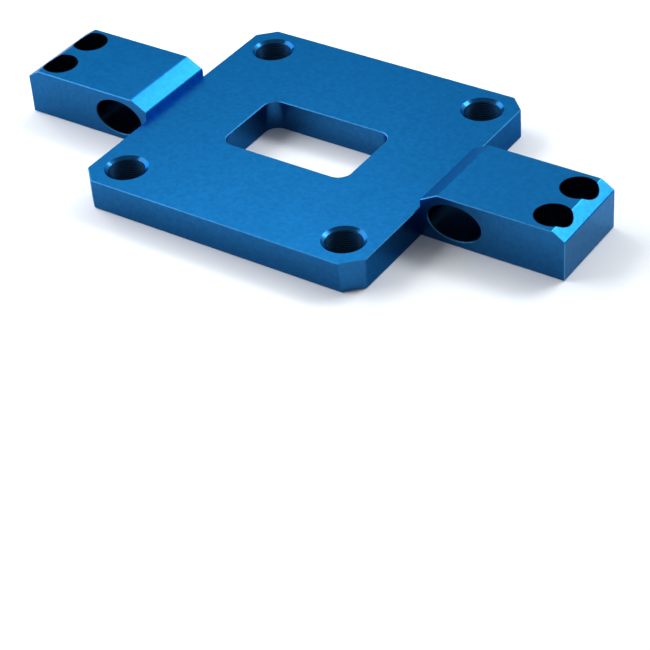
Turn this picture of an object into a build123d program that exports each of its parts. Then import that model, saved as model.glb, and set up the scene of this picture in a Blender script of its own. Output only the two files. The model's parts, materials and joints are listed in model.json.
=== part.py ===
from build123d import *
import os

# A mounting plate with an arm on each side, milled from one block of aluminium.
# Millimetres. The origin is the centre of the underside, +X runs along the arms and +Z is up.

# Square plate with its four corners cut off at 45 degrees
plate_side = 60.0
plate_thickness = 6.0
plate_corner_cut = 3.2

# Window through the middle of the plate, its corners left by the end mill
window_length = 27.0
window_width = 16.5
window_corner_radius = 2.5

# Screw holes in the plate's corners, set in from its edges, each opened by a conical mouth
screw_inset = 6.45
screw_hole_diameter = 6.6
screw_mouth_diameter = 8.2
screw_mouth_angle = 120

# Arms, level with the plate below and taller than it above
arm_length = 28.4
arm_width = 18.2
arm_height = 9.5

# Bevels across the top of each arm, given by their run along the arm and their drop
inner_bevel_run = 3.4
inner_bevel_drop = 1.85
outer_bevel_run = 2.5
outer_bevel_drop = 1.6

# Pair of upright holes near each arm's end, which break into the outer bevel
end_hole_diameter = 6.8
end_hole_pitch = 9.3
end_hole_inset = 4.6

# Oval passage across each arm, half way up, its inset taken from the plate's edge
passage_width = 10.6
passage_height = 7.0
passage_inset = 6.8

# Small chamfer that takes the burr off every outer edge and hole
edge_break = 0.15

# Places that follow from the sizes above
plate_edge = plate_side / 2
screw_pitch = plate_side - 2 * screw_inset
arm_end = plate_edge + arm_length
end_hole_x = arm_end - end_hole_inset
passage_x = plate_edge + passage_inset
passage_z = arm_height / 2


with BuildPart() as mounting_plate:
    # The plate's outline, drawn on the underside
    with BuildSketch():
        outline = Rectangle(plate_side, plate_side)
        chamfer(outline.vertices(), plate_corner_cut)
    extrude(amount=plate_thickness)

    # One arm's side view with both bevels, extruded both ways from the middle, then mirrored
    with BuildSketch(Plane.XZ):
        with BuildLine():
            Polyline(
                (plate_edge, 0),
                (arm_end, 0),
                (arm_end, arm_height - outer_bevel_drop),
                (arm_end - outer_bevel_run, arm_height),
                (plate_edge + inner_bevel_run, arm_height),
                (plate_edge, arm_height - inner_bevel_drop),
                close=True,
            )
        make_face()
    arm = extrude(amount=arm_width / 2, both=True)
    mirror(arm, about=Plane.YZ)

    # Every outer edge of the milled blank is broken, apart from the short upright corners where
    # an arm's wall stands on the plate; the inner corners stay sharp
    step_corners = mounting_plate.edges().filter_by(Axis.Z).filter_by_position(
        Axis.Z, plate_thickness, arm_height
    )
    outer_edges = mounting_plate.edges().filter_by(lambda edge: not edge.is_interior)
    chamfer(outer_edges - step_corners, edge_break)

    # The window, cut right through, with both its rims broken
    with BuildSketch():
        RectangleRounded(window_length, window_width, window_corner_radius)
    extrude(amount=plate_thickness, mode=Mode.SUBTRACT)
    window_rims = mounting_plate.edges(Select.LAST).filter_by(Plane.XY)
    chamfer(window_rims, edge_break)

    # Screw holes with conical mouths on the top face
    with Locations((0, 0, plate_thickness)):
        with GridLocations(screw_pitch, screw_pitch, 2, 2):
            CounterSinkHole(
                radius=screw_hole_diameter / 2,
                counter_sink_radius=screw_mouth_diameter / 2,
                counter_sink_angle=screw_mouth_angle,
            )

    # Oval passages, cut across both arms and broken at their mouths
    with BuildSketch(Plane.XZ):
        with Locations((-passage_x, passage_z), (passage_x, passage_z)):
            Ellipse(passage_width / 2, passage_height / 2)
    extrude(amount=arm_width / 2, both=True, mode=Mode.SUBTRACT)
    passage_rims = mounting_plate.edges(Select.LAST).filter_by(Plane.XZ)
    chamfer(passage_rims, edge_break)

    # End holes, drilled right through
    with Locations((0, 0, arm_height)):
        with GridLocations(2 * end_hole_x, end_hole_pitch, 2, 2):
            Hole(end_hole_diameter / 2)

mounting_plate.part.label = "mounting_plate"

os.makedirs("parts", exist_ok=True)
export_step(mounting_plate.part, "parts/mounting_plate.step")
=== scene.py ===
import json
import math

import bmesh
import bpy
from mathutils import Matrix, Vector


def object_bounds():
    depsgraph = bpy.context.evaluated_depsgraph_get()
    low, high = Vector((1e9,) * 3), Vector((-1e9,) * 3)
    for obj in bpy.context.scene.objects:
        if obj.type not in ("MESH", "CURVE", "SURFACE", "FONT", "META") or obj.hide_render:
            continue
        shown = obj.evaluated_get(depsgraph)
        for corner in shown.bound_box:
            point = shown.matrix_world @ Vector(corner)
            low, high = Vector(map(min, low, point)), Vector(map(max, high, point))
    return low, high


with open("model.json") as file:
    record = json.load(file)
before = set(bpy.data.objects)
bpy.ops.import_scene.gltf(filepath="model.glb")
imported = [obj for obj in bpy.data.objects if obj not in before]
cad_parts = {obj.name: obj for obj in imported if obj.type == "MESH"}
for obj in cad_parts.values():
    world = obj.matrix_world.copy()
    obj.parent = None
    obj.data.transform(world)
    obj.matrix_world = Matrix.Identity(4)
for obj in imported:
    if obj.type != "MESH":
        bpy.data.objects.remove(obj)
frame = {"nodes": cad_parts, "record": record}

# The whole object's box as the CAD model gives it.
cad_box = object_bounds()

# Mounting plate
# Plate and arms are milled from one block of aluminium and every edge is broken. The block is
# then bead-blasted, which leaves a fine even grain, and anodised in a clear blue dye.
plate = frame["nodes"]["mounting_plate"]
arm_end, plate_edge = cad_box[1][0], cad_box[1][1]

# The dye's colour on each kind of surface, with painted shade in the mouths and bores. Wide
# faint clouds and the blasted grain shade it, and the clouds vary its gloss; noise seldom
# leaves its reach
face_dye = (0.0085, 0.128, 0.345)
wall_dye = (0.0145, 0.106, 0.270)
end_dye = (0.0650, 0.200, 0.365)
# Painted shade for the arms' bores, the screw holes and the screw holes' mouths
painted_bore_shade = (0.0120, 0.045, 0.085)
painted_screw_hole_shade = (0.0072, 0.032, 0.078)
painted_mouth_shade = (0.0080, 0.062, 0.172)
pale_edge_dye = (0.0280, 0.165, 0.380)
grazing_tint = (0.45, 0.50, 0.72)
cloud_size = 0.014
cloud_shade = (1.0, 0.93)
grain_size = 0.0009
grain_shade = (1.10, 0.90)
grain_depth = 0.00003
grain_strength = 0.5
noise_detail = 3.0
noise_reach = (0.3, 0.7)
roughness_range = (0.28, 0.33)
edge_roughness = 0.55
screw_roughness = 0.45
mouth_polish = 0.12

# How much of a surface's normal points up: next to nothing on a wall, about 0.7 on a broken edge
# and 0.87 on the conical mouth of a screw hole
wall_slope = 0.1
edge_slope, edge_slope_margin = 0.675, 0.08
mouth_slope, mouth_slope_margin = 0.86, 0.03

# The screw holes, the arms' end holes and the oval passages across the arms. A bore's mask ends a
# margin past its wall, and through is a length longer than any bore
margin = 0.0001
through = 1.0
millimetre = 0.001
passage_width = 0.0106
passage_height = 0.0070
ring_pitch = 0.0004
ring_depth = 0.0001
mounts = {mount["name"]: mount for mount in frame["record"]["mounts"]}
openings = {opening["name"]: opening["box_m"] for opening in frame["record"]["physics"]["openings"]}
plate_screws = mounts["plate_screws"]["dims"]
arm_screws = mounts["right_arm_screws"]["dims"]
arm_screws_x = mounts["right_arm_screws"]["pos_m"][0]
passage_low, passage_high = openings["right_passage"]


def add_node(tree, kind, **settings):
    """A shader node with its properties set."""
    node = tree.nodes.new(kind)
    for name, value in settings.items():
        setattr(node, name, value)
    return node


def compute(tree, operation, *terms):
    """The result of one calculation on numbers or on other nodes' outputs."""
    math_node = add_node(tree, "ShaderNodeMath", operation=operation)
    for term, socket in zip(terms, math_node.inputs):
        if isinstance(term, (int, float)):
            socket.default_value = term
        else:
            tree.links.new(term, socket)
    return math_node.outputs["Value"]


def combine(tree, operation, *terms):
    """The vector result of one operation on fixed vectors or on other nodes' outputs."""
    vector_node = add_node(tree, "ShaderNodeVectorMath", operation=operation)
    for term, socket in zip(terms, vector_node.inputs):
        if isinstance(term, tuple):
            socket.default_value = term
        else:
            tree.links.new(term, socket)
    return vector_node.outputs["Vector"]


def length(tree, vector):
    """The length of a vector that another node puts out."""
    ruler = add_node(tree, "ShaderNodeVectorMath", operation="LENGTH")
    tree.links.new(vector, ruler.inputs[0])
    return ruler.outputs["Value"]


def parts_of(tree, vector):
    """The X, Y and Z of a vector that another node puts out."""
    parts = add_node(tree, "ShaderNodeSeparateXYZ")
    tree.links.new(vector, parts.inputs["Vector"])
    return parts.outputs


def inside(tree, place, centre, reach):
    """1 within an oval bore and its mirror images across both middle planes, 0 elsewhere."""
    folded = combine(tree, "ABSOLUTE", place)
    offset = combine(tree, "SUBTRACT", folded, centre)
    share = combine(tree, "DIVIDE", offset, reach)
    return compute(tree, "LESS_THAN", length(tree, share), 1.0)


def noise(tree, place, feature):
    """A noise pattern whose blobs are about one feature across."""
    texture = add_node(tree, "ShaderNodeTexNoise")
    texture.inputs["Scale"].default_value = 1 / feature
    texture.inputs["Detail"].default_value = noise_detail
    tree.links.new(place, texture.inputs["Vector"])
    return texture.outputs["Fac"]


def ramp(tree, value, reach, levels, smooth=False):
    """A value that goes from the first level to the second while another crosses the reach."""
    kind = "SMOOTHSTEP" if smooth else "LINEAR"
    remap = add_node(tree, "ShaderNodeMapRange", interpolation_type=kind)
    remap.inputs["From Min"].default_value, remap.inputs["From Max"].default_value = reach
    remap.inputs["To Min"].default_value, remap.inputs["To Max"].default_value = levels
    tree.links.new(value, remap.inputs["Value"])
    return remap.outputs["Result"]


def blend(tree, share, first, second):
    """A colour that goes from the first to the second as share goes from 0 to 1."""
    mix = add_node(tree, "ShaderNodeMix", data_type="RGBA")
    tree.links.new(share, mix.inputs["Factor"])
    for colour, socket in ((first, mix.inputs["A"]), (second, mix.inputs["B"])):
        if isinstance(colour, tuple):
            socket.default_value = (*colour, 1)
        else:
            tree.links.new(colour, socket)
    return mix.outputs["Result"]


anodised = bpy.data.materials.new("blue_anodised_aluminium")
anodised.use_nodes = True
tree = anodised.node_tree
metal = tree.nodes["Principled BSDF"]
metal.inputs["Metallic"].default_value = 1.0
metal.inputs["Specular Tint"].default_value = (*grazing_tint, 1)
coordinates = add_node(tree, "ShaderNodeTexCoord")
place = coordinates.outputs["Object"]

# Where the bores are
screw_reach = plate_screws["hole_r_mm"] * millimetre + margin
screw_centre = (
    plate_screws["spacing_x_mm"] / 2 * millimetre,
    plate_screws["spacing_y_mm"] / 2 * millimetre,
    0,
)
end_reach = arm_screws["hole_r_mm"] * millimetre + margin
end_centre = (arm_screws_x, arm_screws["spacing_y_mm"] / 2 * millimetre, 0)
passage_reach = (passage_width / 2 + margin, through, passage_height / 2 + margin)
passage_centre = ((passage_low[0] + passage_high[0]) / 2, 0, (passage_low[2] + passage_high[2]) / 2)
in_screw_hole = inside(tree, place, screw_centre, (screw_reach, screw_reach, through))
in_end_hole = inside(tree, place, end_centre, (end_reach, end_reach, through))
in_passage = inside(tree, place, passage_centre, passage_reach)
in_arm_bore = compute(tree, "MAXIMUM", in_end_hole, in_passage)

# Where the walls, the arms' ends, the broken edges and the mouths are; the arms' bevels slope as
# the mouths do, so only the plate's own slopes are mouths
upward = parts_of(tree, combine(tree, "ABSOLUTE", coordinates.outputs["Normal"]))["Z"]
outward = parts_of(tree, combine(tree, "ABSOLUTE", place))["X"]
on_wall = compute(tree, "LESS_THAN", upward, wall_slope)
on_edge = compute(tree, "COMPARE", upward, edge_slope, edge_slope_margin)
on_slope = compute(tree, "COMPARE", upward, mouth_slope, mouth_slope_margin)
on_arm = compute(tree, "GREATER_THAN", outward, plate_edge - margin)
past_end = compute(tree, "GREATER_THAN", outward, arm_end - margin)
on_end = compute(tree, "MULTIPLY", on_wall, past_end)
on_mouth = compute(tree, "MULTIPLY", on_slope, compute(tree, "SUBTRACT", 1.0, on_arm))

# The dye looks greyer on the walls, palest on the arms' ends and paler along the broken edges.
# The mouths and bores are darker still: painted shade where hardly any light comes back out
dye = blend(tree, on_wall, face_dye, wall_dye)
dye = blend(tree, on_end, dye, end_dye)
dye = blend(tree, on_edge, dye, pale_edge_dye)
dye = blend(tree, on_mouth, dye, painted_mouth_shade)
dye = blend(tree, in_screw_hole, dye, painted_screw_hole_shade)
dye = blend(tree, in_arm_bore, dye, painted_bore_shade)
cloud = noise(tree, place, cloud_size)
grain = noise(tree, place, grain_size)
cloudy = ramp(tree, cloud, noise_reach, cloud_shade)
grainy = ramp(tree, grain, noise_reach, grain_shade)
shaded_dye = combine(tree, "MULTIPLY", dye, compute(tree, "MULTIPLY", cloudy, grainy))
tree.links.new(shaded_dye, metal.inputs["Base Color"])

# The broken edges and the ringed screw holes are duller than the faces, and the mouths are smoother
rough = ramp(tree, cloud, noise_reach, roughness_range)
rough = compute(tree, "MAXIMUM", rough, compute(tree, "MULTIPLY", on_edge, edge_roughness))
rough = compute(tree, "MAXIMUM", rough, compute(tree, "MULTIPLY", in_screw_hole, screw_roughness))
rough = compute(tree, "SUBTRACT", rough, compute(tree, "MULTIPLY", on_mouth, mouth_polish))
tree.links.new(rough, metal.inputs["Roughness"])

# The blasted grain everywhere, and the rings that the cutter left in the screw holes
blasting = add_node(tree, "ShaderNodeBump")
blasting.inputs["Strength"].default_value = grain_strength
blasting.inputs["Distance"].default_value = grain_depth
tree.links.new(grain, blasting.inputs["Height"])
height = parts_of(tree, place)["Z"]
wave = compute(tree, "SINE", compute(tree, "MULTIPLY", height, 2 * math.pi / ring_pitch))
rings = add_node(tree, "ShaderNodeBump")
rings.inputs["Distance"].default_value = ring_depth
tree.links.new(compute(tree, "MULTIPLY", wave, in_screw_hole), rings.inputs["Height"])
tree.links.new(blasting.outputs["Normal"], rings.inputs["Normal"])
tree.links.new(rings.outputs["Normal"], metal.inputs["Normal"])

plate.data.materials.clear()
plate.data.materials.append(anodised)

# Table
# A wide sheet of white board with a matt face. Close to the plate it shows the shadows; further
# out it glows for the camera and for reflections, so that it runs into the white background.
table_reach = 1.5
table_drop = 0.00005
shadow_reach = (0.085, 0.16)
board_white = (0.845, 0.885, 0.935)
board_glow = 0.05


def seen_directly(tree):
    """1 for the camera's rays and for those that metal or glass sends on, 0 for other light."""
    rays = add_node(tree, "ShaderNodeLightPath")
    seen = compute(tree, "MAXIMUM", rays.outputs["Is Glossy Ray"], rays.outputs["Is Transmission Ray"])
    return compute(tree, "MAXIMUM", seen, rays.outputs["Is Camera Ray"])


board_mesh = bmesh.new()
below = Matrix.Translation((0, 0, -table_drop))
bmesh.ops.create_grid(board_mesh, x_segments=1, y_segments=1, size=table_reach, matrix=below)
board_data = bpy.data.meshes.new("table")
board_mesh.to_mesh(board_data)
board_mesh.free()
table = bpy.data.objects.new("table", board_data)
bpy.context.scene.collection.objects.link(table)

board = bpy.data.materials.new("white_board")
board.use_nodes = True
tree = board.node_tree
tree.nodes.remove(tree.nodes["Principled BSDF"])
matt = add_node(tree, "ShaderNodeBsdfDiffuse")
matt.inputs["Color"].default_value = (*board_white, 1)
glow = add_node(tree, "ShaderNodeEmission")
distance = length(tree, add_node(tree, "ShaderNodeTexCoord").outputs["Object"])
fade = ramp(tree, distance, shadow_reach, (board_glow, 1.0), smooth=True)
mixed = add_node(tree, "ShaderNodeMixShader")
tree.links.new(compute(tree, "MULTIPLY", seen_directly(tree), fade), mixed.inputs["Fac"])
tree.links.new(matt.outputs["BSDF"], mixed.inputs[1])
tree.links.new(glow.outputs["Emission"], mixed.inputs[2])
tree.links.new(mixed.outputs["Shader"], tree.nodes["Material Output"].inputs["Surface"])
board_data.materials.append(board)

# Studio
# A pale room, unlit on the camera's side and brightest in one patch behind the plate. The camera
# and reflections also see a backdrop, white low down and grey above. Soft boxes stand behind the
# plate and to its left, and a small one near it gives the top its sheen.
room_light = 0.76
dark_side = (0.58, -0.41, 0.707)
dark_side_reach = (0.10, 0.85)
patch_azimuth, patch_elevation = 20, 40
patch_light = 2.4
patch_focus = 11.5
backdrop_top = (0.16, 0.30)
backdrop_grey = 0.55

world = bpy.data.worlds.new("studio")
bpy.context.scene.world = world
world.use_nodes = True
tree = world.node_tree
background = tree.nodes["Background"]
background.inputs["Color"].default_value = (1, 1, 1, 1)
direction = add_node(tree, "ShaderNodeTexCoord").outputs["Generated"]


def toward(azimuth, elevation):
    """A direction out of the plate's centre; azimuth counts degrees from its back to its right."""
    turn, rise = math.radians(azimuth), math.radians(elevation)
    level = math.cos(rise)
    return Vector((math.sin(turn) * level, math.cos(turn) * level, math.sin(rise)))


def facing(tree, vector, axis):
    """The cosine of the angle between a vector of length 1 and a fixed axis."""
    product = add_node(tree, "ShaderNodeVectorMath", operation="DOT_PRODUCT")
    product.inputs[1].default_value = axis
    tree.links.new(vector, product.inputs[0])
    return product.outputs["Value"]


darkness = facing(tree, direction, dark_side)
room = ramp(tree, darkness, dark_side_reach, (room_light, 0.0), smooth=True)
on_patch = facing(tree, direction, toward(patch_azimuth, patch_elevation))
off_patch = compute(tree, "SUBTRACT", on_patch, 1.0)
halo = compute(tree, "EXPONENT", compute(tree, "MULTIPLY", off_patch, patch_focus))
lit_room = compute(tree, "ADD", room, compute(tree, "MULTIPLY", halo, patch_light))
rise = parts_of(tree, direction)["Z"]
backdrop = ramp(tree, rise, backdrop_top, (1.0, backdrop_grey), smooth=True)
seen_backdrop = compute(tree, "MULTIPLY", seen_directly(tree), backdrop)
tree.links.new(compute(tree, "MAXIMUM", lit_room, seen_backdrop), background.inputs["Strength"])


def soft_box(name, azimuth, elevation, distance, width, height, brightness):
    """A flat lamp that faces the plate and that the camera doesn't see."""
    lamp = bpy.data.lights.new(name, "AREA")
    lamp.shape = "RECTANGLE"
    lamp.size = width
    lamp.size_y = height
    lamp.energy = brightness * math.pi * width * height
    box = bpy.data.objects.new(name, lamp)
    box.location = toward(azimuth, elevation) * distance
    box.rotation_euler = box.location.to_track_quat("Z", "Y").to_euler()
    box.visible_camera = False
    bpy.context.scene.collection.objects.link(box)


soft_box(
    "back_box", azimuth=25.6, elevation=45.7, distance=0.50, width=0.24, height=0.12, brightness=12.3
)
soft_box(
    "left_box", azimuth=-100, elevation=31, distance=0.50, width=0.68, height=0.40, brightness=4.6
)
soft_box(
    "sheen_box", azimuth=-42, elevation=49, distance=0.26, width=0.10, height=0.10, brightness=1.65
)

# Camera
# A long lens looks down on the plate from its right front corner. It is tipped a little, and
# aimed below the plate, which puts the plate in the upper half of the picture.
picture_width = 650
focal_pixels = 2107.24
view_azimuth, view_elevation = 143.81, 37.65
view_roll = math.radians(-4.53)
view_distance = 0.39011
aim_right = 0.00308
aim_down = 0.02953

back = toward(view_azimuth, view_elevation)
turned = Matrix.Rotation(view_roll, 3, back) @ back.to_track_quat("Z", "Y").to_matrix()
lens = bpy.data.cameras.new("camera")
lens.lens = focal_pixels / picture_width * lens.sensor_width
camera = bpy.data.objects.new("camera", lens)
camera.location = turned @ Vector((aim_right, -aim_down, view_distance))
camera.rotation_euler = turned.to_euler()
bpy.context.scene.collection.objects.link(camera)
bpy.context.scene.camera = camera
bpy.context.scene.view_settings.view_transform = "Standard"
